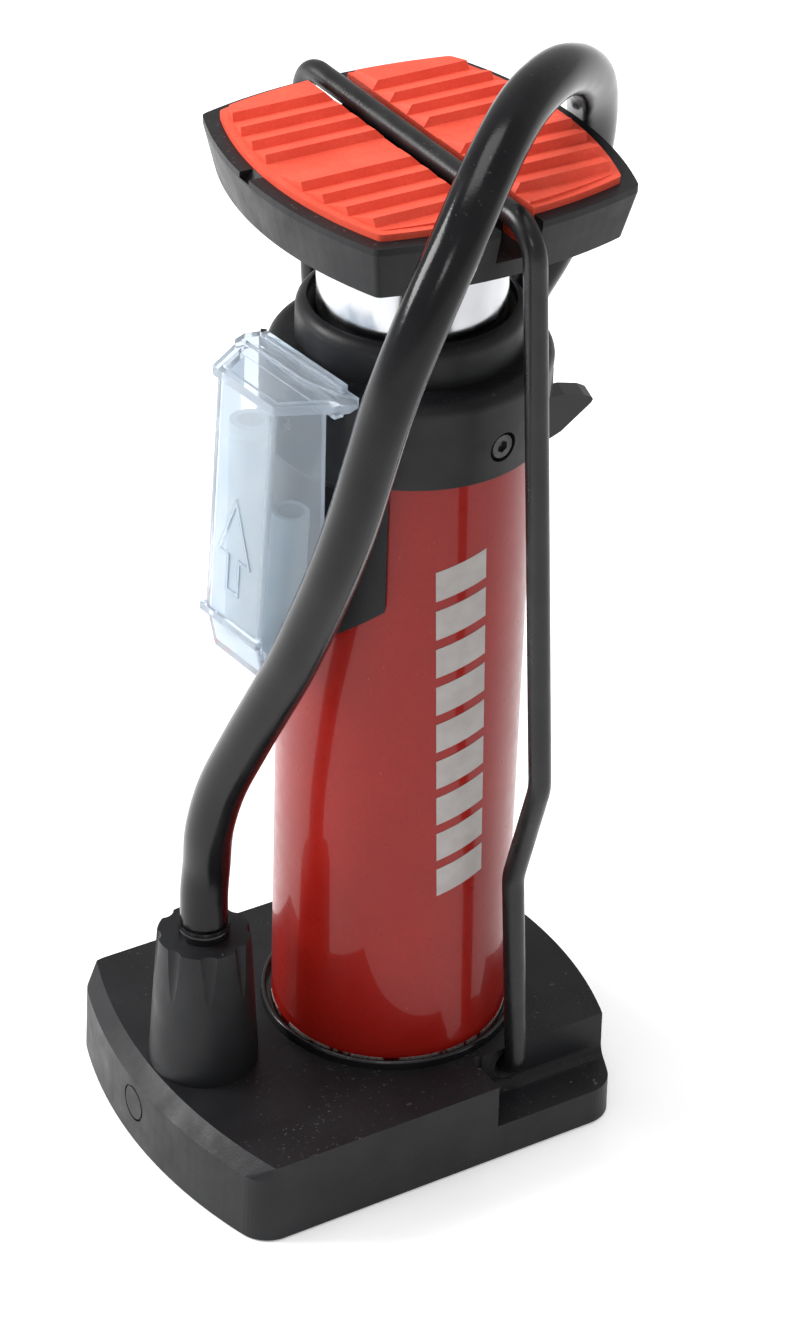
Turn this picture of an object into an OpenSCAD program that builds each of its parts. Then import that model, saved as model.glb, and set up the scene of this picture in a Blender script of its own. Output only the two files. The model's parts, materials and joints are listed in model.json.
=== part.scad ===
// Compact foot air pump: a moulded base, a painted barrel, a telescoping plunger
// with a rubber-topped pedal, a wire bail that locks the pedal down, a hose with a
// thumb-lock pump head clipped to the collar, and a clear case for two adapters.
// Millimetres. The origin is the barrel axis on the floor, +Z up, +X the bail side.

/* [Base] */
// Width of the base across its straight sides
base_w = 79; // [76:1:84]
// Height of the base's top face
base_h = 19; // [18.5:0.5:20]
// Barrel axis to the curved end under the hose knob
base_hose_end = 60; // [59:1:64]
// Barrel axis to the curved end that the bail folds over
base_bail_end = 41; // [40:1:44]
// Height of the low ledges beside the bail's feet
ledge_h = 8.7; // [7:0.1:9]
// Width of the sloping face along the hose end
bevel = 3.4; // [2:0.2:4]

/* [Barrel] */
// Outside diameter of the barrel
barrel_d = 50; // [49.6:0.1:50]
// Wall of the barrel
barrel_wall = 1.6; // [1.2:0.1:1.6]
// Height of the barrel's top end
barrel_top = 172.5; // [171:0.5:173]
// Outside diameter of the plunger tube
plunger_d = 37.2; // [37:0.1:37.2]

/* [Pedal] */
// Height of the pedal's rim in the locked position
pedal_h = 217.6; // [217:0.2:218]
// Length of the pedal along X, over its curved ends
pedal_l = 69.2; // [66:0.2:70]
// Width of the pedal along Y, over its curved sides
pedal_w = 73.2; // [70:0.2:74]
// Depth of the pedal's side wall
pedal_depth = 11; // [10:0.5:12]
// Depth that the side wall leans inwards
pedal_draft = 2.4; // [1:0.2:3]
// Distance between two ridges of the tread
tread_pitch = 6.3; // [6:0.1:6.5]
// Height of a ridge of the tread
tread_step = 1.7; // [1:0.1:2]

/* [Bail] */
// Diameter of the bail's coated wire
wire_d = 4.6; // [4:0.1:4.6]
// Height of the bail's pivot
bail_pivot_z = 14.5; // [14:0.1:14.6]
// Distance of the bail's pivot from the barrel axis
bail_pivot_x = 12.8; // [12:0.1:13]
// Angle that the locked bail leans back over its pivot
bail_lean = 3.8; // [3.5:0.1:4]
// Height of the rod that crosses the pedal
bail_rod_z = 219.3; // [219.2:0.1:219.6]
// Distance of the upper legs from the middle plane
bail_leg_y = 41.8; // [41.5:0.1:43]

/* [Hose] */
// Outside diameter of the hose
hose_d = 9.9; // [9:0.1:10]
// Height of the fluted knob's top
knob_top = 51; // [48:1:51]
// Distance of the knob from the barrel axis
knob_x = 45; // [44:1:45]

/* [Accessory case] */
// Direction of the case, counted from +X
case_angle = 186; // [185:1:188]
// Height of the case's top
case_top = 179.2; // [179:0.1:180]
// Height of the case's body
case_h = 61.7; // [58:0.1:62]

/* [Hidden] */

plastic = [0.17, 0.17, 0.18];
soft_black = [0.10, 0.10, 0.11];
paint_red = [0.62, 0.07, 0.05];
pad_red = [0.93, 0.33, 0.26];
steel = [0.78, 0.79, 0.80];
brass = [0.80, 0.64, 0.32];
clear_blue = [0.72, 0.80, 0.88, 0.45];
pale_green = [0.76, 0.82, 0.80];

fine = 96;
eps = 0.01;
running = 0.1;

// Base
hose_end_r = 112;
bail_end_r = 88;
base_corner = 7;
base_skin = 2.8;
step_y = 29;
step_x = 3.4;
step_fillet = 2.5;
floor_gap = 0.4;
base_flare = 0.4;
floor_top = 11;
socket_z = 8;
boss_r = 29;
knob_boss_r = 13;
pivot_boss_r = 8;
plate_z = 0.7;
plate_t = 2.1;
cavity_z = plate_z + plate_t + 0.2;
foot_top = 1.9;
channel_z = 6;
channel_r = 1.6;
chamber_r = 2.9;
chamber_z = 4.2;
foot_r = 6;
foot_places = [[-46, 26], [-46, -26], [27, 26], [27, -26], [0, 0]];
base_screw_places = [[-28, 30], [-28, -30], [34, 10], [34, -10]];

// Barrel group
barrel_r = barrel_d / 2;
bore_r = barrel_r - barrel_wall;
plunger_r = plunger_d / 2;
plunger_wall = 1.5;
foot_ring_r = 27.2;
foot_ring_top = 21;
plug_top = 20;
ball_r = 2.5;
ball_z = 10.2;

// Collar group
collar_z = 159;
collar_top = 178.3;
collar_r0 = 26.9;
collar_r1 = 28;
collar_shoulder_z = 173;
collar_round = 3;
cap_r = 22.5;
cap_top = 187;
cap_round = 2.6;
wiper_r = 20.3;
wiper_z = 182.8;
bush_z = 164;
collar_screw_z = 165.5;
collar_screw_angles = [-80, 100];
collar_screw_r = 2.9;

// Plunger group
piston_z = 46;
piston_h = 9;
spring_wire_r = 1.1;
spring_turns = 5;
spring_r0 = 20.5;
spring_r1 = 10;
spring_z = plug_top;

// Pedal group
pedal_z = pedal_h - pedal_depth;
pedal_end_r = 86;
pedal_side_r = 96;
pedal_wall = 3;
pedal_floor = 3.2;
pad_gap = 4.4;
pad_base_z = pedal_z + pedal_floor;
pad_valley_z = 218.9;
notch_w = 9;
notch_z = 210.4;
rib_half = 3.4;
rib_len = 50;
pad_lip = 1.7;
tread_first_y = 24.5;
tread_second_y = -7.4;
tread_tail_y = -26.3;

// Bail
wire_r = wire_d / 2;
bail_low_y = 31.4;
pin_end_y = 25.2;
foot_bend = 4;
kink_bend = 12;
top_bend = 7;
kink_low = 51.5;
kink_high = 80.5;
bail_len = (bail_rod_z - bail_pivot_z) / cos(bail_lean);
bush_r = 4;
bush_y = 24.3;
bush_mouth = 3.7;

// Pump head
head_angle = 26;
head_reach = 37.3;
head_x = head_reach * cos(head_angle);
head_y = head_reach * sin(head_angle);
head_r = 8.6;
head_z = 128;
head_shoulder_z = 149;
head_neck_z = 157;
head_neck_r = 6.6;
head_ferrule_top = 165.5;
head_cap_z = 117;
head_cap_r = 8.3;
port_r = 4.1;
port_depth = 9;
lever_angle = -16;
lever_w = 5.2;
lever_pin_out = 5;
lever_pin_z = 142.5;
lever_pin_r = 1.25;
lever_slot_z = 134.5;
clip_z = 150.5;
clip_h = 6;
clip_screw_z = 167;

// Hose route: straight out of the ferrule, up across the front, over the pedal
// and down behind it to the pump head
ferrule_h = 3;
HOSE = [
    [-45, 0, knob_top + ferrule_h], [-45, 0, 61], [-45, -1, 69], [-46, -4, 80],
    [-45.5, -8, 92], [-44, -14, 105], [-42.5, -20, 117], [-41, -26, 129],
    [-40, -32, 142], [-39, -38, 156], [-38, -43, 170], [-37, -47, 184],
    [-35, -50, 198], [-30, -51, 212], [-22, -49, 225], [-12, -43, 234.5],
    [0, -34, 239.5], [12, -25, 239.5], [23, -16, 235.5], [33, -7, 228.5],
    [40, 1, 219], [44, 7, 207], [44, 10.5, 194], [40.5, 13, 182],
    [36.5, 15, 173], [head_x, head_y, head_ferrule_top]
];
hose_sides = 12;
hose_steps = 3;

// Case, in its own frame: x outwards from the barrel axis, y across, z up
case_z = case_top - case_h;
case_t = 1.3;
case_back_x = 30.4;
case_front_top = 39.4;
case_front_low = 42;
case_half_front = 9.2;
case_half_back = 14;
wing_half = 17;
rib_z = 127;
rib_half_w = 9.4;
rail_half = 13;
skirt_half = 45;
skirt_t = 1.7;
skirt_z = 121;
skirt_cut = 37;
flange_r = collar_r1 + 1.3;
bracket_screw_z = 144;
flange_screw_z = 168;

// ---------- helpers ----------

module ring(outer, inner, z0, z1) {
    translate([0, 0, z0])
        difference() {
            cylinder(r = outer, h = z1 - z0, $fn = fine);
            translate([0, 0, -1]) cylinder(r = inner, h = z1 - z0 + 2, $fn = fine);
        }
}

module disc(r, z0, z1, sides = 96) {
    translate([0, 0, z0]) cylinder(r = r, h = z1 - z0, $fn = sides);
}

// A countersunk screw head and shank, pointing down from the origin
module screw(head_d, head_h, shank_d, length) {
    difference() {
        union() {
            cylinder(r1 = shank_d / 2, r2 = head_d / 2, h = head_h, $fn = 32);
            translate([0, 0, head_h - length]) cylinder(r = shank_d / 2, h = length, $fn = 32);
        }
        cross_recess(head_d * 0.55, head_h);
    }
}

// The cross slot in a screw head
module cross_recess(span, top) {
    for (a = [0, 90])
        rotate([0, 0, a])
            translate([-span / 2, -span * 0.11, top - 0.9]) cube([span, span * 0.22, 2]);
}

function unit(v) = v / norm(v);
function side_of(d) = unit(cross(d, abs(d.z) < 0.9 ? [0, 0, 1] : [1, 0, 0]));
// Carries the last ring's direction along the route, so that the tube never twists
function carried(prev, d) = unit(prev - d * (prev * d));
function route_dirs(p) = [
    for (i = [0 : len(p) - 1])
        unit(p[min(i + 1, len(p) - 1)] - p[max(i - 1, 0)])
];
function route_sides(d, i = 0, last = [1, 0, 0]) =
    i >= len(d) ? [] : concat([carried(last, d[i])], route_sides(d, i + 1, carried(last, d[i])));

// A smooth route through the points of a coarse one
function between(a, b, c, d, t) =
    0.5 * (2 * b + (c - a) * t + (2 * a - 5 * b + 4 * c - d) * t * t + (3 * b - a - 3 * c + d) * t * t * t);
function smooth_route(p, n) = concat(
    [
        for (i = [0 : len(p) - 2], k = [0 : n - 1])
            between(p[max(i - 1, 0)], p[i], p[i + 1], p[min(i + 2, len(p) - 1)], k / n)
    ],
    [p[len(p) - 1]]
);

// A round tube swept along a route
module swept(route, r, sides, end_dirs = []) {
    raw = route_dirs(route);
    dirs = len(end_dirs) == 0 ? raw :
        [for (i = [0 : len(raw) - 1]) i == 0 ? end_dirs[0] : i == len(raw) - 1 ? end_dirs[1] : raw[i]];
    us = route_sides(dirs, 0, side_of(dirs[0]));
    rings = [
        for (i = [0 : len(route) - 1], k = [0 : sides - 1])
            route[i] + r * (us[i] * cos(360 * k / sides) + cross(dirs[i], us[i]) * sin(360 * k / sides))
    ];
    last = (len(route) - 1) * sides;
    walls = [
        for (i = [0 : len(route) - 2], k = [0 : sides - 1])
            [
                i * sides + k, (i + 1) * sides + k,
                (i + 1) * sides + (k + 1) % sides, i * sides + (k + 1) % sides
            ]
    ];
    caps = [
        [for (k = [0 : sides - 1]) k],
        [for (k = [sides - 1 : -1 : 0]) last + k]
    ];
    polyhedron(points = rings, faces = concat(walls, caps), convexity = 6);
}

// A coil spring with closed ends, tapering from one radius to the other
function coil(r0, r1, z0, z1, turns, steps) = [
    for (i = [0 : turns * steps])
        let (f = i / (turns * steps), r = r0 + (r1 - r0) * f, a = 360 * i / steps)
            [r * cos(a), r * sin(a), z0 + (z1 - z0) * f]
];

module at_case() {
    rotate([0, 0, case_angle]) children();
}

module at_head() {
    translate([head_x, head_y, 0]) rotate([0, 0, lever_angle]) children();
}

// ---------- base ----------

module base_outline(grow = 0) {
    offset(r = base_corner + grow, $fn = 48)
        offset(delta = -base_corner)
            intersection() {
                translate([-base_hose_end, -base_w / 2]) square([base_hose_end + base_bail_end, base_w]);
                translate([hose_end_r - base_hose_end, 0]) circle(r = hose_end_r, $fn = 240);
                translate([base_bail_end - bail_end_r, 0]) circle(r = bail_end_r, $fn = 240);
            }
}

// The space above a ledge, with a fillet where the ledge meets the step
module ledge_cut() {
    for (s = [-1, 1])
        translate([step_x, 0, 0])
            rotate([90, 0, 90])
                linear_extrude(height = 60)
                    offset(r = step_fillet, $fn = 32)
                        offset(delta = -step_fillet)
                            polygon([
                                [s * step_y, ledge_h], [s * (base_w / 2 + 10), ledge_h],
                                [s * (base_w / 2 + 10), base_h + 10], [s * step_y, base_h + 10]
                            ]);
}

module base_body() {
    color(plastic)
        difference() {
            base_block();
            ledge_cut();
            // rounded inner corner of each pocket
            for (s = [-1, 1])
                translate([step_x + 1.1, s * (step_y + 1.5), ledge_h]) cylinder(r = 2, h = 20, $fn = 32);
            base_hollow();
            // barrel socket, valve chamber and air channel
            difference() {
                disc(barrel_r + running, socket_z, base_h + 1);
                disc(bore_r - running, socket_z - 1, floor_top);
            }
            disc(chamber_r, chamber_z, base_h, 48);
            translate([-knob_x, 0, channel_z]) rotate([0, 90, 0]) cylinder(r = channel_r, h = knob_x, $fn = 32);
            translate([-knob_x, 0, channel_z - channel_r]) cylinder(r = 3.1, h = 30, $fn = 32);
            // bail pivot holes, open to the step walls
            translate([bail_pivot_x, 0, bail_pivot_z])
                for (s = [0, 180])
                    rotate([90, 0, s])
                        translate([0, 0, bush_y]) cylinder(r = bush_r + 0.02, h = 12, $fn = 48);
            // recess for the foot ring
            difference() {
                disc(foot_ring_r + 0.05, base_h - 0.8, base_h + 1);
                disc(barrel_r - 2, base_h - 2, base_h + 2);
            }
            // ring mark moulded into the hose end
            translate([-base_hose_end - 0.4, 3, 9.7])
                rotate([0, 90, 0])
                    difference() {
                        cylinder(r = 4.1, h = 0.75, $fn = 48);
                        translate([0, 0, -1]) cylinder(r = 3.6, h = 3, $fn = 48);
                    }
        }
}

// The solid block, a little wider at the floor, with a slope along the hose end
module base_block() {
    slope_r = hose_end_r + 6;
    hull() {
        translate([0, 0, floor_gap]) linear_extrude(height = eps) base_outline(base_flare);
        translate([0, 0, base_h - bevel]) linear_extrude(height = eps) base_outline();
        translate([0, 0, base_h - eps])
            linear_extrude(height = eps)
                intersection() {
                    base_outline();
                    translate([slope_r - base_hose_end + bevel, 0]) circle(r = slope_r, $fn = 240);
                }
    }
}

// The underside, cored out around the barrel, knob, pivots and screws
module base_hollow() {
    difference() {
        translate([0, 0, -1]) linear_extrude(height = base_h - base_skin + 1) base_outline(-base_skin);
        disc(boss_r, cavity_z, base_h);
        translate([-knob_x, 0, 0]) disc(knob_boss_r, cavity_z, base_h, 64);
        translate([-knob_x, -4.5, cavity_z]) cube([knob_x, 9, base_h]);
        // solid ends behind the ledges
        for (s = [-1, 1])
            translate([step_x - 3, s > 0 ? step_y - 3 : -base_w / 2, cavity_z])
                cube([60, base_w / 2 - step_y + 3, base_h]);
        for (p = base_screw_places)
            translate([p.x, p.y, cavity_z]) cylinder(r = 3.6, h = base_h, $fn = 32);
    }
    for (p = base_screw_places)
        translate([p.x, p.y, plate_z]) cylinder(r = 1.2, h = 11, $fn = 24);
}

module base_plate() {
    color(soft_black)
        difference() {
            translate([0, 0, plate_z]) linear_extrude(height = plate_t) base_outline(-base_skin - 0.15);
            for (p = foot_places)
                translate([p.x, p.y, 0]) cylinder(r = foot_r + 0.05, h = foot_top + 0.05, $fn = 48);
            for (p = base_screw_places)
                translate([p.x, p.y, 0]) {
                    cylinder(r = 1.7, h = 6, $fn = 32);
                    translate([0, 0, plate_z - 0.1]) cylinder(r1 = 3.2, r2 = 1.7, h = 1.6, $fn = 32);
                }
        }
}

module rubber_feet() {
    color(soft_black)
        for (p = foot_places)
            translate([p.x, p.y, 0]) cylinder(r = foot_r, h = foot_top, $fn = 48);
}

module base_screws() {
    color(steel)
        for (p = base_screw_places)
            translate([p.x, p.y, plate_z + 1.6]) rotate([180, 0, 0]) screw(6, 1.5, 2.4, 9);
}

module foot_ring() {
    color(soft_black)
        rotate_extrude($fn = fine)
            union() {
                // flat band in the base, and a round lip clear of the barrel
                translate([barrel_r + 0.1, base_h - 0.8])
                    square([foot_ring_r - barrel_r - 0.1, 0.9]);
                translate([foot_ring_r - 1.1, base_h - 0.8]) square([1.1, 2.3]);
                translate([foot_ring_r - 0.55, base_h + 1.5]) circle(r = 0.55, $fn = 32);
            }
}

// ---------- barrel and valve ----------

module barrel() {
    color(paint_red) ring(barrel_r, bore_r, socket_z, barrel_top);
}

module barrel_plug() {
    color(soft_black)
        difference() {
            disc(bore_r - running, floor_top, plug_top);
            disc(1.7, floor_top - 1, plug_top + 1, 32);
            // ball seat
            translate([0, 0, floor_top - eps]) cylinder(r1 = 2.6, r2 = 1.7, h = 1.4, $fn = 32);
            // O-ring groove
            difference() {
                disc(bore_r + 1, 14.6, 17);
                disc(bore_r - 2.1, 14, 18);
            }
        }
}

module plug_oring() {
    color(soft_black)
        rotate_extrude($fn = fine)
            translate([bore_r - 1.08, 15.8]) circle(r = 1, $fn = 24);
}

module check_ball() {
    color(steel) translate([0, 0, ball_z]) sphere(r = ball_r, $fn = 48);
}

module ball_spring() {
    color(steel) swept(coil(1.7, 1.7, chamber_z + 0.3, ball_z - ball_r + 0.3, 4, 12), 0.22, 6);
}

// ---------- hose end at the base ----------

module hose_barb() {
    color(brass)
        translate([-knob_x, 0, 0])
            difference() {
                union() {
                    disc(3, channel_z + 2, 30, 48);
                    for (z = [30 : 3.6 : 41])
                        translate([0, 0, z]) cylinder(r1 = 3.3, r2 = 2.7, h = 3.6, $fn = 48);
                }
                disc(1.7, 0, 60, 32);
            }
}

// Fluted gland knob: a tapered body with a round skirt and eight pointed flutes
module hose_knob() {
    color(plastic)
        translate([-knob_x, 0, base_h])
            difference() {
                union() {
                    cylinder(r = 11.4, h = 3, $fn = fine);
                    translate([0, 0, 3]) cylinder(r1 = 11.4, r2 = 9.7, h = knob_top - base_h - 3, $fn = fine);
                }
                for (a = [22.5 : 45 : 359])
                    rotate([0, 0, a])
                        translate([13.3, 0, 8])
                            rotate([0, -4.6, 0]) cylinder(r1 = 1.4, r2 = 2.6, h = 26, $fn = 32);
                translate([0, 0, -1]) cylinder(r = 3.5, h = 60, $fn = 32);
                translate([0, 0, 13]) cylinder(r = 4.2, h = 60, $fn = 32);
            }
}

module hose_ferrule() {
    color(soft_black)
        translate([-knob_x, 0, knob_top])
            rotate_extrude($fn = 64)
                difference() {
                    union() {
                        translate([3, 0]) square([2.3, ferrule_h]);
                        translate([3.9, ferrule_h / 2]) circle(r = ferrule_h / 2, $fn = 32);
                    }
                    translate([-7, -1]) square([10.1, 6]);
                }
}

module hose() {
    color(soft_black) swept(smooth_route(HOSE, hose_steps), hose_d / 2, hose_sides, [[0, 0, 1], [0, 0, -1]]);
}

// ---------- collar ----------

module collar() {
    color(plastic)
        difference() {
            rotate_extrude($fn = fine)
                union() {
                    polygon([
                        [barrel_r + running, collar_z], [collar_r0, collar_z],
                        [collar_r1, collar_top - collar_round], [collar_r1 - collar_round, collar_top],
                        [plunger_r + 2.4, collar_top], [plunger_r + 2.4, collar_shoulder_z],
                        [barrel_r + running, collar_shoulder_z]
                    ]);
                    translate([collar_r1 - collar_round, collar_top - collar_round])
                        intersection() {
                            circle(r = collar_round, $fn = 64);
                            translate([-0.2, -0.2]) square(collar_round + 1);
                        }
                }
            for (a = collar_screw_angles)
                rotate([0, 0, a])
                    translate([0, 0, collar_screw_z])
                        rotate([0, 90, 0]) {
                            cylinder(r = 1.7, h = 40, $fn = 32);
                            translate([0, 0, collar_r0 - 1.1]) cylinder(r = collar_screw_r + 0.25, h = 10, $fn = 48);
                        }
        }
}

module collar_screws() {
    color(steel)
        for (a = collar_screw_angles)
            rotate([0, 0, a])
                translate([0, 0, collar_screw_z])
                    rotate([0, 90, 0])
                        difference() {
                            union() {
                                translate([0, 0, collar_r0 - 1.8]) cylinder(r = 1.5, h = 1, $fn = 32);
                                translate([0, 0, collar_r0 - 1.05])
                                    cylinder(r1 = collar_screw_r, r2 = 2.4, h = 1.2, $fn = 48);
                            }
                            translate([0, 0, collar_r0 - 0.7]) cylinder(r = 1.3, h = 5, $fn = 6);
                        }
}

// Ring nut on top of the collar, with a rounded top edge and a seat for the wiper
module collar_cap() {
    seat = wiper_r + 0.05;
    color(plastic)
        rotate_extrude($fn = fine)
            union() {
                translate([plunger_r + 0.3, collar_top]) square([cap_r - plunger_r - 0.3, wiper_z - collar_top]);
                translate([seat, wiper_z]) square([cap_r - seat, cap_top - cap_round - wiper_z]);
                intersection() {
                    translate([cap_r - cap_round, cap_top - cap_round]) circle(r = cap_round, $fn = 48);
                    translate([seat, wiper_z]) square([10, 10]);
                }
            }
}

module wiper_seal() {
    color(soft_black)
        difference() {
            ring(wiper_r, plunger_r + running, wiper_z, cap_top - 1.6);
            translate([0, 0, cap_top - 2.6]) cylinder(r1 = plunger_r + running, r2 = plunger_r + 1.3, h = 1.2, $fn = fine);
        }
}

module guide_bush() {
    color(pale_green)
        union() {
            ring(plunger_r + 2.3, plunger_r + running, bush_z, collar_top - 0.3);
            ring(bore_r - running, plunger_r + running, bush_z, bush_z + 4);
        }
}

// ---------- plunger ----------

module plunger_tube() {
    color(steel) ring(plunger_r, plunger_r - plunger_wall, piston_z + 3, pedal_z);
}

module piston() {
    color(soft_black)
        difference() {
            union() {
                disc(plunger_r - plunger_wall, piston_z, piston_z + 18);
                disc(bore_r - 0.5, piston_z, piston_z + 3);
            }
            translate([0, 0, piston_z + 5]) cylinder(r = 13, h = 20, $fn = 64);
            disc(1.6, piston_z - 1, piston_z + 20, 32);
        }
}

module piston_cup() {
    color(soft_black) ring(bore_r - 0.15, plunger_r + 0.02, piston_z + 3, piston_z + piston_h);
}

module return_spring() {
    color(steel)
        swept(
            coil(spring_r0, spring_r1, spring_z + spring_wire_r + 0.1, piston_z - spring_wire_r - 0.1,
                spring_turns, 20),
            spring_wire_r, 8
        );
}

module tube_insert() {
    color(soft_black)
        difference() {
            disc(plunger_r - plunger_wall, pedal_z - 14, pedal_z);
            disc(12, pedal_z - 15, pedal_z - 4);
            disc(2, pedal_z - 5, pedal_z + 1, 32);
        }
}

// ---------- pedal ----------

module pedal_outline(inset = 0) {
    offset(r = 1.6, $fn = 24)
        offset(delta = -1.6 - inset)
            intersection() {
                for_each_end(pedal_l / 2, pedal_end_r);
                rotate([0, 0, 90]) for_each_end(pedal_w / 2, pedal_side_r);
            }
}

// The lens between two arcs whose tops are reach from the middle
module for_each_end(reach, r) {
    intersection() {
        translate([reach - r, 0]) circle(r = r, $fn = 200);
        translate([r - reach, 0]) circle(r = r, $fn = 200);
    }
}

module pedal_body() {
    color(plastic)
        difference() {
            hull() {
                translate([0, 0, pedal_h - 1.4]) linear_extrude(height = 1.4) pedal_outline();
                translate([0, 0, pedal_z]) linear_extrude(height = 0.5) pedal_outline(pedal_draft);
            }
            // tray for the pads, with a rib that the bail's rod bears on
            difference() {
                translate([0, 0, pad_base_z]) linear_extrude(height = 20) pedal_outline(pedal_wall);
                translate([-rib_half, -rib_len / 2, 0]) cube([rib_half * 2, rib_len, bail_rod_z - wire_r - 0.05]);
            }
            for (s = [-1, 1])
                translate([-notch_w / 2, s > 0 ? pedal_w / 2 - 9 : -pedal_w / 2 - 1, notch_z])
                    cube([notch_w, 10, 20]);
            // dimple in the rim of the hose side
            translate([-pedal_l / 2 + 1.3, 5, pedal_h]) rotate([0, 35, 0]) cube([3, 4, 3], center = true);
            disc(2.1, 0, 300, 32);
            translate([0, 0, pad_base_z - 1.2]) cylinder(r1 = 2.1, r2 = 4.6, h = 1.3, $fn = 32);
            disc(4.6, pad_base_z, 300, 48);
        }
}

// Height of the tread along Y: ramps that drop on their -Y side, with a plain
// band in the middle
function tooth(y) = [[y, pad_valley_z + tread_step], [y - 0.7, pad_valley_z]];
function tread_line() = concat(
    [[40, pad_valley_z + 0.5]],
    [for (k = [0 : 3]) each tooth(tread_first_y - k * tread_pitch)],
    [[0.2, pad_valley_z - 0.1]],
    [for (k = [0 : 3]) each tooth(tread_second_y - k * tread_pitch)],
    [[-40, pad_valley_z + 1.3]]
);

// Half of the tread: a plate, and ridges that stop short of its curved edge
module pad_half(side) {
    color(pad_red)
        difference() {
            union() {
                translate([0, 0, pad_base_z])
                    linear_extrude(height = pad_valley_z - pad_base_z) pedal_outline(pedal_wall + 0.1);
                intersection() {
                    translate([0, 0, pad_base_z]) linear_extrude(height = 20) pedal_outline(pedal_wall + pad_lip);
                    translate([-50, 0, 0])
                        rotate([90, 0, 90])
                            linear_extrude(height = 100)
                                polygon(concat(tread_line(), [[-40, pad_base_z], [40, pad_base_z]]));
                }
            }
            translate([side > 0 ? -50 : -pad_gap, -50, 0]) cube([50 + pad_gap, 100, 300]);
            // chamfer where the ridges end at the bail's groove
            translate([side * pad_gap, 0, pad_valley_z + tread_step + 0.3])
                rotate([0, 45, 0]) cube([2.6, 100, 2.6], center = true);
        }
}

module pedal_screw() {
    color(steel)
        translate([0, 0, pad_base_z - 1.2]) screw(8.6, 1.2, 3.6, 8);
}

// ---------- bail ----------

// A straight run of wire between two points of the bail's plane. It reaches a
// little way into the bends at its ends, so that the pieces make one solid.
module wire_run(a, b) {
    d = b - a;
    reach = 0.12;
    translate([a.x, a.y, 0])
        rotate([0, 0, atan2(d.y, d.x)])
            rotate([0, 90, 0])
                translate([0, 0, -reach]) cylinder(r = wire_r - eps, h = norm(d) + 2 * reach, $fn = 32);
}

// A bend of wire about a centre, from one angle through a sweep
module wire_bend(c, r, from, sweep) {
    translate([c.x, c.y, 0])
        rotate([0, 0, from])
            rotate_extrude(angle = sweep, $fn = fine)
                translate([r, 0]) circle(r = wire_r, $fn = 32);
}

// One side of the bail in its own plane: x across, y along the legs
module bail_side() {
    slope = atan2(bail_leg_y - bail_low_y, kink_high - kink_low);
    back = kink_bend * tan(slope / 2);
    along = [sin(slope), cos(slope)];
    low = [bail_low_y, kink_low];
    high = [bail_leg_y, kink_high];
    wire_run([pin_end_y, 0], [bail_low_y - foot_bend, 0]);
    wire_bend([bail_low_y - foot_bend, foot_bend], foot_bend, -90, 90);
    wire_run([bail_low_y, foot_bend], low - [0, back]);
    wire_bend([bail_low_y + kink_bend, kink_low - back], kink_bend, 180 - slope, slope);
    wire_run(low + along * back, high - along * back);
    wire_bend([bail_leg_y - kink_bend, kink_high + back], kink_bend, -slope, slope);
    wire_run(high + [0, back], [bail_leg_y, bail_len - top_bend]);
    wire_bend([bail_leg_y - top_bend, bail_len - top_bend], top_bend, 0, 90);
    wire_run([0, bail_len], [bail_leg_y - top_bend, bail_len]);
}

module bail_wire() {
    color(soft_black)
        translate([bail_pivot_x, 0, bail_pivot_z])
            rotate([0, -bail_lean, 0])
                rotate([90, 0, 90]) {
                    bail_side();
                    mirror([1, 0, 0]) bail_side();
                }
}

// Blind bushes with a flared mouth, so that the bent foot of the wire clears them
module bail_bushes() {
    color(soft_black)
        translate([bail_pivot_x, 0, bail_pivot_z])
            for (s = [0, 180])
                rotate([90, 0, s])
                    difference() {
                        translate([0, 0, bush_y]) cylinder(r = bush_r, h = step_y - bush_y, $fn = 48);
                        translate([0, 0, pin_end_y - 0.2]) cylinder(r = wire_r + running, h = 20, $fn = 48);
                        translate([0, 0, step_y - 1.8])
                            cylinder(r1 = wire_r + running, r2 = bush_mouth, h = 1.8 + eps, $fn = 48);
                    }
}

// ---------- curved plates that hug the barrel and collar ----------

module hugging_plate(half, z0, z1) {
    rotate([0, 0, -half])
        rotate_extrude(angle = half * 2, $fn = fine)
            polygon([
                [barrel_r + 0.1, z0], [barrel_r + skirt_t, z0], [barrel_r + skirt_t, collar_z - 2.4],
                [flange_r, collar_z + 0.6], [flange_r, z1], [collar_r1 + 0.15, z1],
                [collar_r1 + 0.15, collar_z - 0.3], [barrel_r + 0.1, collar_z - 0.3]
            ]);
}

// ---------- accessory case ----------

// Bracket behind the case, with long slanted cuts at its lower corners
module case_bracket() {
    color(plastic)
        at_case()
            difference() {
                hugging_plate(skirt_half, skirt_z, 176.6);
                for (s = [-1, 1])
                    rotate([0, 0, s * skirt_half])
                        translate([0, -s * 6.5, skirt_z + 5.5])
                            rotate([s * skirt_cut, 0, 0])
                                translate([0, -30, -20]) cube([60, 60, 20]);
                for (z = [bracket_screw_z, flange_screw_z])
                    translate([20, 0, z]) rotate([0, 90, 0]) cylinder(r = 1.6, h = 20, $fn = 32);
            }
}

module bracket_screws() {
    color(steel)
        at_case() {
            translate([0, 0, bracket_screw_z])
                rotate([0, 90, 0]) {
                    translate([0, 0, barrel_r + skirt_t]) cylinder(r = 2.8, h = 0.9, $fn = 32);
                    translate([0, 0, barrel_r + 0.1]) cylinder(r = 1.5, h = skirt_t, $fn = 32);
                }
            translate([0, 0, flange_screw_z])
                rotate([0, 90, 0])
                    translate([0, 0, collar_r1 + 0.2]) cylinder(r = 1.5, h = 1.1, $fn = 32);
        }
}

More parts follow.
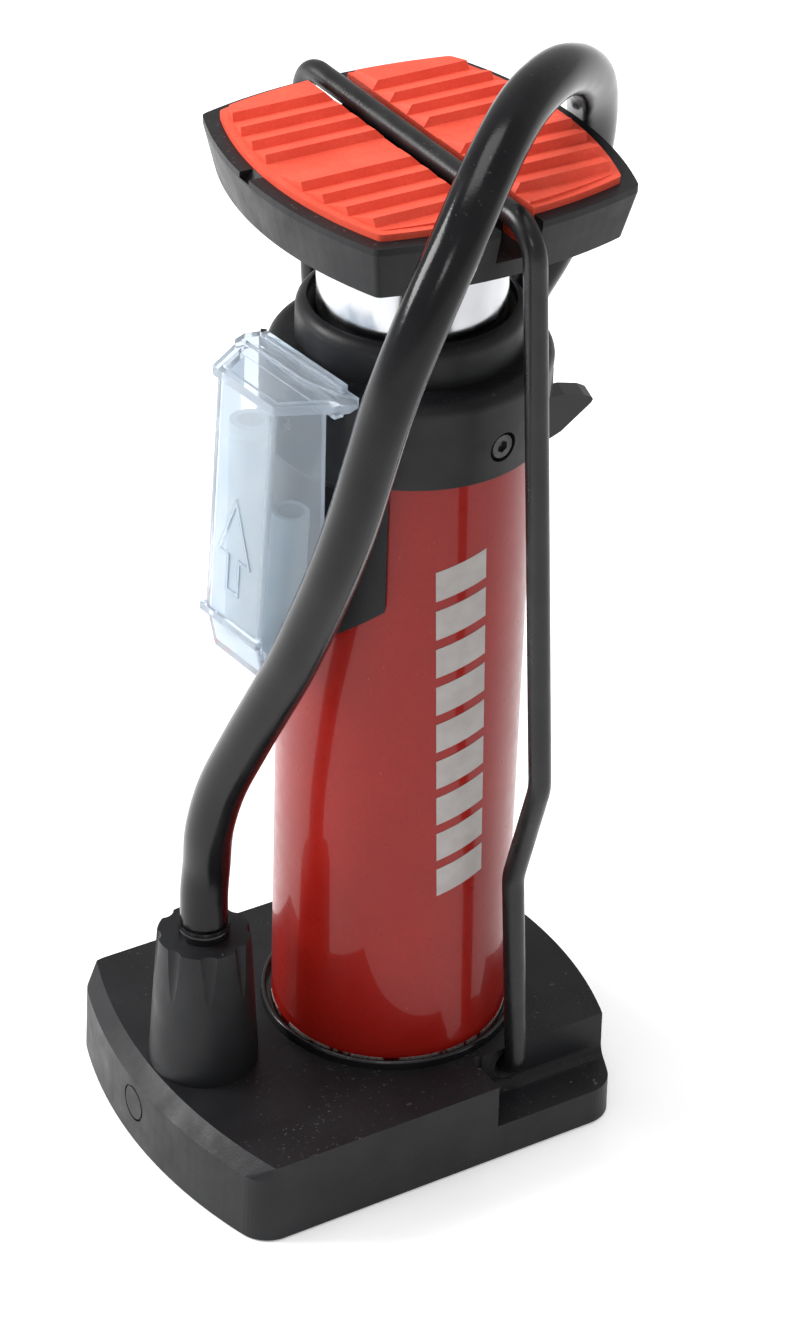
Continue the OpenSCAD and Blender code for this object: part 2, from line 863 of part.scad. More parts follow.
// Plan of the case's body: flat front, slanted sides, open towards the barrel
module case_plan(front, inset = 0) {
    offset(r = 2.4 - inset, $fn = 24)
        offset(delta = -2.4)
            polygon([
                [case_back_x - 4, -case_half_back - 2], [front, -case_half_front],
                [front, case_half_front], [case_back_x - 4, case_half_back + 2]
            ]);
}

module case_solid(inset) {
    hull() {
        translate([0, 0, case_top - 2 - inset]) linear_extrude(height = 0.5) case_plan(case_front_top, inset);
        translate([0, 0, rib_z]) linear_extrude(height = 0.5) case_plan(case_front_low, inset);
        translate([0, 0, case_z + inset])
            linear_extrude(height = 0.5)
                intersection() {
                    case_plan(case_front_low - 2, inset);
                    translate([0, -8.4]) square([60, 16.8]);
                }
    }
}

module case_cover() {
    color(clear_blue)
        at_case()
            difference() {
                union() {
                    case_solid(0);
                    case_top_plate();
                    // thumb rib
                    translate([case_front_low - 3.2, -rib_half_w, rib_z - 0.8]) cube([4, rib_half_w * 2, 1.6]);
                    // moulded arrow, pointing up
                    case_arrow();
                }
                case_solid(case_t);
                // open back
                translate([0, -40, case_z - 1]) cube([case_back_x, 80, case_h - 1.5]);
                // the plate rests on the collar's shoulder
                disc(collar_r1 + 0.3, case_z - 1, collar_top + running);
            }
}

module top_outline(inset) {
    offset(delta = -inset)
        polygon([
            [24.4, -wing_half + 1], [27.2, -wing_half], [30.2, -wing_half + 1],
            [31.4, -case_half_back - 0.4], [case_front_top + 0.3, -case_half_front - 0.7],
            [case_front_top + 0.3, case_half_front + 0.7], [31.4, case_half_back + 0.4],
            [30.2, wing_half - 1], [27.2, wing_half], [24.4, wing_half - 1]
        ]);
}

// Top plate with a sunken panel, a wing at each back corner and a rail along its
// back edge
module case_top_plate() {
    translate([0, 0, case_top - 2])
        difference() {
            linear_extrude(height = 2) top_outline(0);
            translate([0, 0, -1]) cylinder(r = collar_r1 - 3.8, h = 5, $fn = fine);
            translate([0, 0, 1])
                linear_extrude(height = 2)
                    intersection() {
                        top_outline(1.8);
                        translate([28.6, -20]) square([20, 40]);
                    }
        }
    translate([24.8, -rail_half, case_top - eps]) cube([1.3, rail_half * 2, 1.6]);
    // lugs under the wings, which grip the bracket's edges
    for (s = [-1, 1])
        translate([29.4, s * (wing_half - 1.2), case_top - 4]) cube([2, 1.6, 5], center = true);
}

module case_arrow() {
    lean = atan2(case_front_low - case_front_top, case_top - 2 - rib_z);
    translate([case_front_low - 0.1, 0, rib_z])
        rotate([0, -lean, 0])
            rotate([90, 0, 90])
                linear_extrude(height = 0.45)
                    difference() {
                        arrow_shape(0);
                        arrow_shape(-0.7);
                    }
}

module arrow_shape(grow) {
    offset(delta = grow)
        polygon([[-2.1, 7], [2.1, 7], [2.1, 14.5], [5.6, 14.5], [0, 28], [-5.6, 14.5], [-2.1, 14.5]]);
}

// The adapters stand loose in the case, so each leans a little
module tube_adapter() {
    tube_r = 4.2;
    color(pale_green)
        at_case()
            translate([34.8, -4.3, 121.8])
                rotate([0, -1, 0])
                    difference() {
                        cylinder(r = tube_r, h = 46.6, $fn = 48);
                        translate([0, 0, -1]) cylinder(r = 2.7, h = 50, $fn = 48);
                        translate([0, 0, 44])
                            rotate_extrude($fn = 48) translate([tube_r + 0.2, 0]) circle(r = 0.5, $fn = 16);
                    }
}

module cone_adapter() {
    color(pale_green)
        at_case()
            translate([33.6, 4.75, 121.8])
                rotate([-3.6, -1.2, 0])
                    difference() {
                        union() {
                            cylinder(r = 4.2, h = 2, $fn = 48);
                            translate([0, 0, 2]) cylinder(r1 = 4.2, r2 = 3.6, h = 29.5, $fn = 48);
                        }
                        translate([0, 0, -1]) cylinder(r = 2.6, h = 50, $fn = 48);
                    }
}

// ---------- pump head ----------

// A snap ring round the head's tapered shoulder, on a plate screwed to the collar
module head_clip() {
    plate_half = 20;
    color(plastic)
        rotate([0, 0, head_angle]) {
            difference() {
                hugging_plate(plate_half, 148, 172);
                translate([15, 0, clip_screw_z]) rotate([0, 90, 0]) cylinder(r = 1.6, h = 20, $fn = 32);
            }
            difference() {
                union() {
                    translate([head_reach, 0, clip_z]) cylinder(r = head_neck_r + 3.4, h = clip_h, $fn = 64);
                    translate([barrel_r + 0.9, -5, clip_z]) cube([head_reach - barrel_r - 4, 10, clip_h]);
                }
                translate([head_reach, 0, head_shoulder_z])
                    cylinder(
                        r1 = head_r + 0.3, r2 = head_neck_r + 0.3, h = head_neck_z - head_shoulder_z, $fn = 64
                    );
                // mouth of the clip, on the outer side
                translate([head_reach + 2.5, -12, clip_z - 5]) cube([20, 24, 20]);
            }
        }
}

module head_clip_screw() {
    color(steel)
        rotate([0, 0, head_angle])
            translate([0, 0, clip_screw_z])
                rotate([0, 90, 0]) {
                    translate([0, 0, flange_r]) cylinder(r = 2.4, h = 0.8, $fn = 32);
                    translate([0, 0, collar_r1 + 0.2]) cylinder(r = 1.5, h = 1.2, $fn = 32);
                }
}

module head_body() {
    color(plastic)
        at_head()
            difference() {
                union() {
                    disc(head_r, head_z, head_shoulder_z, 64);
                    translate([0, 0, head_shoulder_z])
                        cylinder(r1 = head_r, r2 = head_neck_r, h = head_neck_z - head_shoulder_z, $fn = 64);
                }
                // chamber for the washer and plunger
                disc(5.2, head_z - 1, head_z + 8, 48);
                disc(1.7, head_z, head_neck_z + 1, 32);
                // slot for the lever
                translate([1.5, -lever_w / 2 - 0.35, lever_slot_z])
                    cube([20, lever_w + 0.7, head_neck_z - lever_slot_z + 1]);
                translate([lever_pin_out, 0, lever_pin_z])
                    rotate([90, 0, 0]) cylinder(r = lever_pin_r, h = 30, $fn = 32, center = true);
            }
}

module head_cap() {
    color(plastic)
        at_head()
            difference() {
                union() {
                    disc(head_cap_r, head_cap_z + 1, head_z, 64);
                    translate([0, 0, head_cap_z]) cylinder(r1 = head_cap_r - 1, r2 = head_cap_r, h = 1, $fn = 64);
                }
                disc(port_r, head_cap_z - 1, head_cap_z + port_depth - 5, 48);
                disc(5.6, head_cap_z + port_depth - 5, head_z + 1, 48);
                for (a = [0 : 30 : 359])
                    rotate([0, 0, a])
                        translate([head_cap_r + 0.5, 0, head_cap_z + 1.8]) cylinder(r = 1, h = 20, $fn = 16);
            }
}

module head_washer() {
    color(soft_black)
        at_head() ring(5.2, port_r - 0.2, head_cap_z + port_depth - 5, head_z);
}

module head_plunger() {
    color(brass)
        at_head() ring(5, 1.7, head_z, head_z + 6);
}

// Thumb lever: a wedge with a nearly level top and a round root on its pin
module head_lever() {
    color(plastic)
        at_head()
            difference() {
                translate([lever_pin_out, lever_w / 2, lever_pin_z])
                    rotate([90, 0, 0])
                        linear_extrude(height = lever_w)
                            union() {
                                circle(r = 3.3, $fn = 48);
                                offset(r = 0.5, $fn = 16)
                                    offset(delta = -0.5)
                                        polygon([
                                            [-0.6, 3], [3.4, 5.4], [7, 5.8], [11.2, 5.2], [13.3, 4.2],
                                            [12.8, 3.2], [6.6, -2.9], [4.1, -4.4], [1, -3.1]
                                        ]);
                            }
                translate([lever_pin_out, 0, lever_pin_z])
                    rotate([90, 0, 0]) cylinder(r = lever_pin_r + running, h = 30, $fn = 32, center = true);
            }
}

module lever_pin() {
    color(steel)
        at_head()
            translate([lever_pin_out, 0, lever_pin_z])
                rotate([90, 0, 0]) cylinder(r = lever_pin_r, h = 13.2, $fn = 32, center = true);
}

module head_ferrule() {
    color(soft_black)
        at_head() {
            ring(head_neck_r - 0.3, 2, head_neck_z, head_ferrule_top - 2);
            translate([0, 0, head_ferrule_top - 2])
                difference() {
                    cylinder(r1 = head_neck_r - 0.3, r2 = hose_d / 2, h = 2, $fn = 64);
                    translate([0, 0, -1]) cylinder(r = 2, h = 5, $fn = 32);
                }
        }
}

base_body();
base_plate();
rubber_feet();
base_screws();
barrel();
foot_ring();
barrel_plug();
plug_oring();
check_ball();
ball_spring();
hose_barb();
hose_knob();
hose_ferrule();
hose();
collar();
collar_cap();
wiper_seal();
collar_screws();
guide_bush();
plunger_tube();
piston();
piston_cup();
return_spring();
tube_insert();
pedal_body();
pad_half(-1);  // pedal_pad_a
pad_half(1);  // pedal_pad_b
pedal_screw();
bail_wire();
bail_bushes();
case_bracket();
bracket_screws();
case_cover();
tube_adapter();
cone_adapter();
head_clip();
head_clip_screw();
head_body();
head_cap();
head_washer();
head_plunger();
head_lever();
lever_pin();
head_ferrule();
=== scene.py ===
import json
import math

import bpy
from mathutils import Matrix, Vector


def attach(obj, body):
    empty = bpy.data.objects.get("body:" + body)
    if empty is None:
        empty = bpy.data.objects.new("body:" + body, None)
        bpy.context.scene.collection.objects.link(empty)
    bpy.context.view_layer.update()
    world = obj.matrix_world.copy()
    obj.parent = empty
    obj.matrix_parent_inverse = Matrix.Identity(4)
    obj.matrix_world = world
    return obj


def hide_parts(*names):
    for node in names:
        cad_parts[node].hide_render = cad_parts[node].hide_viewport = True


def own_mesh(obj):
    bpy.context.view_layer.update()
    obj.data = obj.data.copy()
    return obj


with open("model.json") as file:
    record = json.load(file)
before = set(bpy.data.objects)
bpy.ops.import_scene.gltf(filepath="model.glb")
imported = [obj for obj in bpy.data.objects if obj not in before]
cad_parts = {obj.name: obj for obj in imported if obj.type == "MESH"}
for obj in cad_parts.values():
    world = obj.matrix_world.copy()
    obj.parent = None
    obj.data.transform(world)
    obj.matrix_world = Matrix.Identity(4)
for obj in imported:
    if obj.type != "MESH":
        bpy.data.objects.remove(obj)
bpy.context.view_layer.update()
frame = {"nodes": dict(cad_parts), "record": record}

MM = 0.001


def add_object(name, data):
    """A new object in the scene."""
    obj = bpy.data.objects.new(name, data)
    bpy.context.collection.objects.link(obj)
    return obj


def add_mesh(name, verts, faces):
    """A new mesh object in the scene."""
    mesh = bpy.data.meshes.new(name)
    mesh.from_pydata(verts, [], faces)
    mesh.update()
    return add_object(name, mesh)


# ---------- camera, fitted to the photograph ----------

CAMERA_AT = Vector((-0.3493, -0.5533, 0.5272))
BACK_AZIMUTH = math.radians(-31.52)
BACK_ELEVATION = math.radians(31.65)
ROLL = math.radians(1.64)
SENSOR = 36.0
LENS = 104.3
SHIFT = (0.0303, -0.0673)


def make_camera():
    """A camera whose back vector, roll and shift give the photograph's view."""
    sa, ca = math.sin(BACK_AZIMUTH), math.cos(BACK_AZIMUTH)
    se, ce = math.sin(BACK_ELEVATION), math.cos(BACK_ELEVATION)
    back = Vector((sa * ce, -ca * ce, se))
    flat_right = Vector((ca, sa, 0.0))
    flat_up = back.cross(flat_right)
    right = flat_right * math.cos(ROLL) + flat_up * math.sin(ROLL)
    up = flat_up * math.cos(ROLL) - flat_right * math.sin(ROLL)
    turn = Matrix((right, up, back)).transposed().to_4x4()
    data = bpy.data.cameras.new("view")
    data.sensor_width = SENSOR
    data.lens = LENS
    data.shift_x, data.shift_y = SHIFT
    data.clip_start = 0.01
    cam = add_object("view", data)
    cam.matrix_world = Matrix.Translation(CAMERA_AT) @ turn
    bpy.context.scene.camera = cam


make_camera()

# ---------- hose ----------

# The route's points, in mm, are those of the CAD part. The last is the head ferrule's top
HOSE_ROUTE = [
    (-45, 0, 54), (-45, 0, 61), (-45, -1, 69), (-46, -4, 80), (-45.5, -8, 92),
    (-44, -14, 105), (-42.5, -20, 117), (-41, -26, 129), (-40, -32, 142),
    (-39, -38, 156), (-38, -43, 170), (-37, -47, 184), (-35, -50, 198),
    (-30, -51, 212), (-22, -49, 225), (-12, -43, 234.5), (0, -34, 239.5),
    (12, -25, 239.5), (23, -16, 235.5), (33, -7, 228.5), (40, 1, 219),
    (44, 7, 207), (44, 10.5, 194), (40.5, 13, 182), (36.5, 15, 173),
    (33.525, 16.351, 165.5),
]
HOSE_D = 9.9 * MM
HOSE_STEPS = 8
HOSE_SIDES = 24


def catmull(points, steps):
    """A smooth line through the points, with steps pieces between neighbours."""
    pts = [Vector(p) * MM for p in points]
    line = []
    for i in range(len(pts) - 1):
        p0, p1 = pts[max(i - 1, 0)], pts[i]
        p2, p3 = pts[i + 1], pts[min(i + 2, len(pts) - 1)]
        for k in range(steps):
            t = k / steps
            line.append(0.5 * (2 * p1 + (p2 - p0) * t
                               + (2 * p0 - 5 * p1 + 4 * p2 - p3) * t * t
                               + (3 * p1 - p0 - 3 * p2 + p3) * t * t * t))
    return line + [pts[-1]]


def make_hose():
    """The hose as a closed smooth tube round its centreline."""
    line = catmull(HOSE_ROUTE, HOSE_STEPS)
    verts, faces = [], []
    side = Vector((1, 0, 0))
    for i, place in enumerate(line):
        along = (line[min(i + 1, len(line) - 1)] - line[max(i - 1, 0)]).normalized()
        side = (side - along * side.dot(along)).normalized()
        other = along.cross(side)
        for k in range(HOSE_SIDES):
            turn = 2 * math.pi * k / HOSE_SIDES
            verts.append(place + (side * math.cos(turn) + other * math.sin(turn)) * HOSE_D / 2)
    for i in range(len(line) - 1):
        for k in range(HOSE_SIDES):
            a, b = i * HOSE_SIDES + k, i * HOSE_SIDES + (k + 1) % HOSE_SIDES
            faces.append((a, b, b + HOSE_SIDES, a + HOSE_SIDES))
    last = (len(line) - 1) * HOSE_SIDES
    faces.append(tuple(reversed(range(HOSE_SIDES))))
    faces.append(tuple(range(last, last + HOSE_SIDES)))
    hose = add_mesh("air_hose", verts, faces)
    for face in hose.data.polygons:
        face.use_smooth = len(face.vertices) == 4
    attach(hose, "base")
    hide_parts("hose")
    return hose


HOSE = make_hose()

# ---------- materials ----------


class Shader:
    """A Principled material and the few helpers that build its nodes."""

    def __init__(self, name, colour, rough, **sockets):
        self.mat = bpy.data.materials.new(name)
        self.mat.use_nodes = True
        self.tree = self.mat.node_tree
        self.bsdf = self.tree.nodes["Principled BSDF"]
        self.coords = self.tree.nodes.new("ShaderNodeTexCoord").outputs["Object"]
        self.colour = None
        self.base = (*colour, 1.0)
        self.bsdf.inputs["Base Color"].default_value = self.base
        self.bsdf.inputs["Roughness"].default_value = rough
        self.rough = rough
        self.normal = None
        for socket, value in sockets.items():
            self.bsdf.inputs[socket.replace("_", " ")].default_value = value

    def node(self, kind, **inputs):
        made = self.tree.nodes.new(kind)
        for key, value in inputs.items():
            name = key.replace("_", " ")
            if hasattr(value, "is_output"):
                self.tree.links.new(value, made.inputs[name])
            else:
                made.inputs[name].default_value = value
        return made

    def noise(self, scale, detail=3.0, stretch=(1, 1, 1)):
        """Noise in object space; scale counts features in a metre."""
        place = self.node("ShaderNodeMapping", Vector=self.coords)
        place.inputs["Scale"].default_value = stretch
        tex = self.node("ShaderNodeTexNoise", Vector=place.outputs["Vector"],
                        Scale=scale, Detail=detail)
        return tex.outputs["Fac"]

    def ramp(self, value, low, high, out_low=0.0, out_high=1.0):
        """value taken from low..high to out_low..out_high, held at the ends."""
        made = self.node("ShaderNodeMapRange", Value=value)
        made.inputs["From Min"].default_value = low
        made.inputs["From Max"].default_value = high
        made.inputs["To Min"].default_value = out_low
        made.inputs["To Max"].default_value = out_high
        return made.outputs["Result"]

    def times(self, a, b):
        made = self.tree.nodes.new("ShaderNodeMath")
        made.operation = "MULTIPLY"
        for socket, value in zip(made.inputs, (a, b)):
            if hasattr(value, "is_output"):
                self.tree.links.new(value, socket)
            else:
                socket.default_value = value
        return made.outputs[0]

    def facing_up(self, low=0.3, high=1.0):
        """1 on surfaces that face up, 0 on the sides."""
        geometry = self.tree.nodes.new("ShaderNodeNewGeometry")
        split = self.node("ShaderNodeSeparateXYZ", Vector=geometry.outputs["Normal"])
        return self.ramp(split.outputs["Z"], low, high)

    def mix(self, factor, colour):
        """Lay colour over what is there so far."""
        made = self.tree.nodes.new("ShaderNodeMixRGB")
        self.tree.links.new(factor, made.inputs["Fac"])
        if self.colour is None:
            made.inputs["Color1"].default_value = self.base
        else:
            self.tree.links.new(self.colour, made.inputs["Color1"])
        made.inputs["Color2"].default_value = (*colour, 1.0)
        self.colour = made.outputs["Color"]
        self.tree.links.new(self.colour, self.bsdf.inputs["Base Color"])

    def mottle(self, scale, colour, amount=1.0, detail=4.0):
        """Soft patches of a second colour."""
        self.mix(self.ramp(self.noise(scale, detail), 0.35, 0.7, 0.0, amount), colour)

    def specks(self, scale, colour, cover=0.62, up_only=True, strength=0.7):
        """Grains of dust, gathered in patches, mostly on surfaces facing up."""
        grains = self.ramp(self.noise(scale, 2.0), cover, cover + 0.05, 0.0, strength)
        patches = self.ramp(self.noise(scale * 0.05, 3.0), 0.42, 0.65)
        factor = self.times(grains, patches)
        if up_only:
            factor = self.times(factor, self.facing_up())
        self.mix(factor, colour)

    def vary_rough(self, scale, spread, stretch=(1, 1, 1)):
        """Roughness that drifts by spread to each side."""
        value = self.ramp(self.noise(scale, 4.0, stretch), 0.3, 0.7,
                          max(self.rough - spread, 0.02), self.rough + spread)
        self.tree.links.new(value, self.bsdf.inputs["Roughness"])

    def bump(self, scale, distance, strength=0.5, detail=2.0, stretch=(1, 1, 1)):
        """Relief of a real height, in metres."""
        made = self.node("ShaderNodeBump", Height=self.noise(scale, detail, stretch),
                         Strength=strength, Distance=distance)
        if self.normal is not None:
            self.tree.links.new(self.normal, made.inputs["Normal"])
        self.normal = made.outputs["Normal"]
        self.tree.links.new(self.normal, self.bsdf.inputs["Normal"])


DUST = (0.30, 0.29, 0.28)


def black_plastic():
    s = Shader("black_plastic", (0.0085, 0.0088, 0.0100), 0.44, Specular_IOR_Level=0.21)
    s.mottle(60, (0.0135, 0.014, 0.0155))
    s.specks(1500, DUST, 0.66, strength=0.25)
    s.specks(420, DUST, 0.72, strength=0.35)
    s.vary_rough(140, 0.08)
    s.bump(2600, 0.00012, 0.35)
    s.bump(160, 0.0002, 0.2)
    return s.mat


def black_plastic_smooth():
    s = Shader("black_plastic_smooth", (0.009, 0.009, 0.010), 0.4, Specular_IOR_Level=0.3)
    s.mottle(90, (0.015, 0.015, 0.016))
    s.vary_rough(200, 0.08)
    s.bump(900, 0.0001, 0.2)
    return s.mat


def black_gloss():
    s = Shader("black_gloss", (0.006, 0.006, 0.007), 0.2, Specular_IOR_Level=0.4)
    s.mottle(150, (0.010, 0.010, 0.011))
    s.vary_rough(260, 0.08)
    s.bump(700, 0.0001, 0.15)
    return s.mat


def black_rubber():
    s = Shader("black_rubber", (0.011, 0.011, 0.011), 0.62, Specular_IOR_Level=0.25)
    s.mottle(300, (0.03, 0.029, 0.028))
    s.specks(1300, DUST, 0.66, strength=0.3)
    s.vary_rough(400, 0.1)
    s.bump(1800, 0.0001, 0.4)
    return s.mat


def hose_rubber():
    s = Shader("hose_rubber", (0.0036, 0.0036, 0.0046), 0.18, Specular_IOR_Level=0.21)
    s.mottle(80, (0.008, 0.008, 0.009))
    s.specks(1100, DUST, 0.68, strength=0.25)
    s.vary_rough(120, 0.05)
    s.bump(1400, 0.00008, 0.2)
    s.bump(120, 0.0003, 0.12)
    return s.mat


def red_paint():
    s = Shader("red_paint", (0.235, 0.0072, 0.0045), 0.32, Coat_Weight=0.33,
               Coat_Roughness=0.04, Specular_IOR_Level=0.12)
    s.mottle(40, (0.28, 0.010, 0.006))
    s.mottle(900, (0.21, 0.006, 0.0035), 0.5)
    s.specks(2200, (0.75, 0.5, 0.45), 0.72, up_only=False, strength=0.3)
    s.vary_rough(300, 0.05)
    s.bump(320, 0.00006, 0.12)
    return s.mat


def red_rubber():
    s = Shader("red_rubber", (0.74, 0.080, 0.042), 0.62, Specular_IOR_Level=0.3)
    s.mottle(110, (0.82, 0.105, 0.058))
    s.mottle(1500, (0.68, 0.062, 0.033), 0.5)
    s.specks(1800, (0.9, 0.55, 0.45), 0.7, strength=0.35)
    s.vary_rough(300, 0.08)
    s.bump(2200, 0.00012, 0.35)
    return s.mat


def polished_tube():
    s = Shader("polished_tube", (0.60, 0.61, 0.63), 0.16, Metallic=1.0)
    s.mottle(55, (0.47, 0.48, 0.50))
    s.vary_rough(240, 0.09, (1, 1, 0.08))
    s.bump(900, 0.00005, 0.12, stretch=(1, 1, 0.05))
    return s.mat


def steel():
    s = Shader("steel", (0.58, 0.58, 0.57), 0.3, Metallic=1.0)
    s.mottle(500, (0.48, 0.48, 0.47))
    s.vary_rough(900, 0.1)
    s.bump(1800, 0.00006, 0.2)
    return s.mat


def dark_steel():
    s = Shader("dark_steel", (0.035, 0.035, 0.038), 0.32, Metallic=0.6)
    s.mottle(700, (0.07, 0.07, 0.07))
    s.vary_rough(900, 0.1)
    s.bump(1500, 0.00008, 0.25)
    return s.mat


def brass():
    s = Shader("brass", (0.72, 0.50, 0.22), 0.28, Metallic=1.0)
    s.mottle(600, (0.60, 0.40, 0.17))
    s.vary_rough(800, 0.1)
    s.bump(1600, 0.00005, 0.2, stretch=(0.1, 0.1, 1))
    return s.mat


def pale_plastic():
    s = Shader("pale_plastic", (0.70, 0.71, 0.68), 0.4)
    s.mottle(200, (0.62, 0.63, 0.60))
    s.vary_rough(300, 0.08)
    s.bump(1200, 0.00008, 0.2)
    return s.mat


def black_coat():
    s = Shader("black_coat", (0.006, 0.006, 0.0065), 0.32, Specular_IOR_Level=0.32)
    s.mottle(150, (0.011, 0.011, 0.012))
    s.specks(1400, DUST, 0.67, strength=0.3)
    s.vary_rough(180, 0.08)
    s.bump(1100, 0.0001, 0.25)
    return s.mat


def clear_plastic():
    s = Shader("clear_plastic", (0.76, 0.83, 0.90), 0.07, Transmission_Weight=0.74, IOR=1.25)
    s.mottle(130, (0.69, 0.77, 0.855))
    s.vary_rough(220, 0.04)
    s.bump(160, 0.0004, 0.16)
    return s.mat


def pale_green_plastic():
    s = Shader("pale_green_plastic", (0.50, 0.57, 0.56), 0.38)
    s.mottle(160, (0.52, 0.60, 0.585))
    s.specks(1500, (0.7, 0.72, 0.7), 0.68, up_only=False, strength=0.3)
    s.vary_rough(300, 0.08)
    s.bump(1000, 0.0001, 0.2)
    return s.mat


def barrel_print():
    s = Shader("barrel_print", (0.38, 0.36, 0.345), 0.4, Specular_IOR_Level=0.25)
    s.mottle(300, (0.34, 0.31, 0.30))
    s.vary_rough(400, 0.08)
    s.bump(1800, 0.00004, 0.2)
    return s.mat


MATERIALS = {f.__name__: f() for f in (
    black_plastic, black_plastic_smooth, black_gloss, black_rubber, hose_rubber, red_paint,
    red_rubber, polished_tube, steel, dark_steel, brass, pale_plastic, black_coat,
    clear_plastic, pale_green_plastic)}


def set_material(obj, mat):
    obj.data.materials.clear()
    obj.data.materials.append(mat)


for row in frame["record"]["subparts"]:
    if row["node"] != "hose":
        set_material(frame["nodes"][row["node"]], MATERIALS[row["material_slot"]])
set_material(HOSE, MATERIALS["hose_rubber"])

# ---------- softened edges ----------

# Radius of the moulded edges of each node, in mm
EDGES = {
    "base_body": 0.7, "pedal_body": 0.6, "pedal_pad_a": 0.8, "pedal_pad_b": 0.8,
    "hose_knob": 0.6, "collar": 0.4, "collar_cap": 0.5, "wiper_seal": 0.25,
    "case_cover": 0.22, "case_bracket": 0.25, "head_lever": 0.35, "head_cap": 0.3,
    "head_body": 0.3, "head_clip": 0.3, "head_ferrule": 0.3, "hose_ferrule": 0.25,
    "barrel": 0.15, "collar_screws": 0.12, "tube_adapter": 0.2, "cone_adapter": 0.25,
    "base_plate": 0.3, "rubber_feet": 0.25,
}
BEVEL_ANGLE = math.radians(28)
BEVEL_SEGMENTS = 3

for name, radius in EDGES.items():
    soften = frame["nodes"][name].modifiers.new("edges", "BEVEL")
    soften.width = radius * MM
    soften.segments = BEVEL_SEGMENTS
    soften.limit_method = "ANGLE"
    soften.angle_limit = BEVEL_ANGLE
    soften.use_clamp_overlap = True
    soften.harden_normals = True

# ---------- springs, as copies of their CAD coils ------------


def squashing_coil(node):
    """The node's own coil, copied onto the base body in place of the node."""
    coil = add_object(node + "_coil", frame["nodes"][node].data.copy())
    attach(coil, "base")
    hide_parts(node)
    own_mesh(coil)


squashing_coil("return_spring")
squashing_coil("ball_spring")

# ---------- print on the barrel ----------

BARREL_R = 25.0 * MM
PRINT_LIFT = 0.07 * MM
# Heights, half width, gap and slant of the row of bars, in mm
PRINT_Z = (63.0, 143.0)
PRINT_HALF = 5.5
PRINT_BARS = 9
PRINT_GAP = 2.2
PRINT_SLANT = 3.0
PRINT_ANGLES = (math.radians(-88), math.radians(-95))
PRINT_COLUMNS = 10


def make_print():
    """A plain row of slanted bars up the barrel, where the real one has its print."""
    verts, faces = [], []
    pitch = (PRINT_Z[1] - PRINT_Z[0]) / PRINT_BARS
    for bar in range(PRINT_BARS):
        first = len(verts)
        low = PRINT_Z[0] + bar * pitch
        for col in range(PRINT_COLUMNS + 1):
            across = col / PRINT_COLUMNS * 2 - 1
            for z in (low, low + pitch - PRINT_GAP):
                tall = z + across * PRINT_SLANT / 2
                share = (tall - PRINT_Z[0]) / (PRINT_Z[1] - PRINT_Z[0])
                centre = PRINT_ANGLES[0] + (PRINT_ANGLES[1] - PRINT_ANGLES[0]) * share
                turn = centre + across * PRINT_HALF * MM / BARREL_R
                for r in (BARREL_R - PRINT_LIFT, BARREL_R + PRINT_LIFT):
                    verts.append((r * math.cos(turn), r * math.sin(turn), tall * MM))
        # each column holds: low inner, low outer, high inner, high outer
        for col in range(PRINT_COLUMNS):
            a, b = first + col * 4, first + (col + 1) * 4
            faces += [(a + 1, b + 1, b + 3, a + 3), (b, a, a + 2, b + 2),
                      (a, b, b + 1, a + 1), (a + 3, b + 3, b + 2, a + 2)]
        last = first + PRINT_COLUMNS * 4
        faces += [(first, first + 1, first + 3, first + 2),
                  (last + 1, last, last + 2, last + 3)]
    obj = add_mesh("barrel_print", verts, faces)
    set_material(obj, barrel_print())
    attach(obj, "base")


make_print()

# ---------- chipped edge at the barrel's foot ----------

EDGE_Z = (19.6, 20.5)
EDGE_TURNS = 120


def chipped_edge():
    """Bright metal that shows through dark red where the paint is worn."""
    s = Shader("chipped_edge", (0.62, 0.60, 0.58), 0.3, Metallic=0.7)
    s.mix(s.ramp(s.noise(300, 4.0), 0.5, 0.56), (0.16, 0.006, 0.004))
    s.vary_rough(600, 0.1)
    s.bump(900, 0.0001, 0.4)
    return s.mat


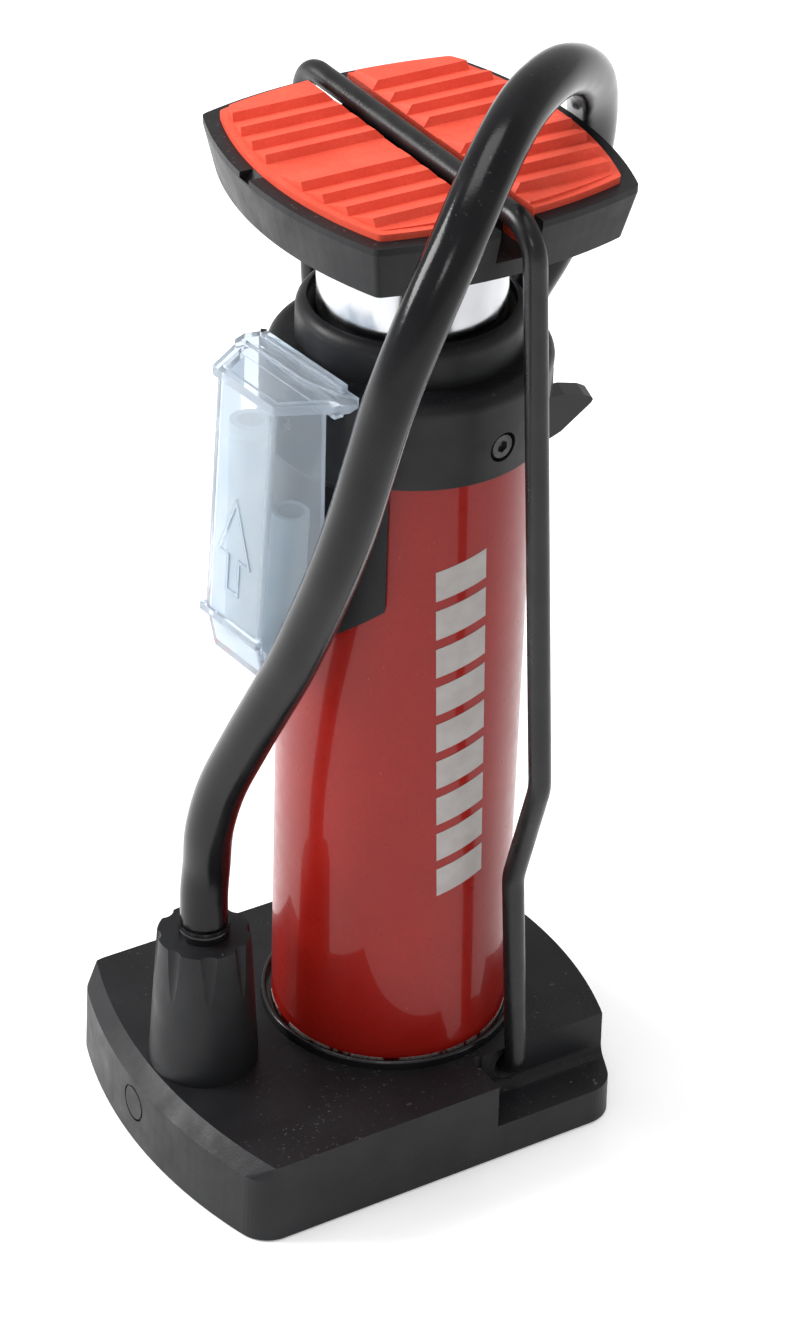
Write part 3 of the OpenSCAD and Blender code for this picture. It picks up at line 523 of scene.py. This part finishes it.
def make_edge():
    """A closed thin band round the barrel where it meets the base."""
    inner, outer = BARREL_R - PRINT_LIFT, BARREL_R + PRINT_LIFT
    low, high = (z * MM for z in EDGE_Z)
    ring = [(inner, low), (outer, low), (outer, high), (inner, high)]
    verts, faces = [], []
    for i in range(EDGE_TURNS):
        turn = 2 * math.pi * i / EDGE_TURNS
        verts += [(r * math.cos(turn), r * math.sin(turn), z) for r, z in ring]
        a, b = i * 4, (i + 1) % EDGE_TURNS * 4
        faces += [(a + k, b + k, b + (k + 1) % 4, a + (k + 1) % 4) for k in range(4)]
    obj = add_mesh("barrel_edge", verts, faces)
    set_material(obj, chipped_edge())
    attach(obj, "base")


make_edge()

# ---------- floor, lights and world ----------

FLOOR_HALF = 8.0


LIGHTS_AIM = Vector((0, 0, 0.11))
WORLD_STRENGTH = 0.55


def make_floor():
    """A wide pale floor that glows a little, so that it stays white."""
    h = FLOOR_HALF
    floor = add_mesh("floor", [(-h, -h, 0), (h, -h, 0), (h, h, 0), (-h, h, 0)], [(0, 1, 2, 3)])
    s = Shader("floor", (0.96, 0.96, 0.96), 0.7, Specular_IOR_Level=0.2,
               Emission_Color=(1.0, 1.0, 1.0, 1.0), Emission_Strength=0.22)
    s.mottle(6, (0.94, 0.94, 0.945))
    set_material(floor, s.mat)


def make_light(name, place, size, power):
    """A soft square light that points at the middle of the pump."""
    data = bpy.data.lights.new(name, "AREA")
    data.size = size
    data.energy = power
    light = add_object(name, data)
    light.location = place
    light.rotation_euler = (LIGHTS_AIM - Vector(place)).to_track_quat("-Z", "Y").to_euler()


make_floor()
make_light("key", (-1.0, 0.75, 0.75), 0.6, 20.0)
make_light("top", (-0.1, 0.1, 1.7), 1.0, 16.0)
make_light("front", (-0.6, -0.9, 0.8), 0.25, 1.5)

world = bpy.data.worlds.new("studio")
world.use_nodes = True
backdrop = world.node_tree.nodes["Background"]
backdrop.inputs["Color"].default_value = (1.0, 1.0, 1.0, 1.0)
backdrop.inputs["Strength"].default_value = WORLD_STRENGTH
bpy.context.scene.world = world
bpy.context.scene.view_settings.view_transform = "Standard"
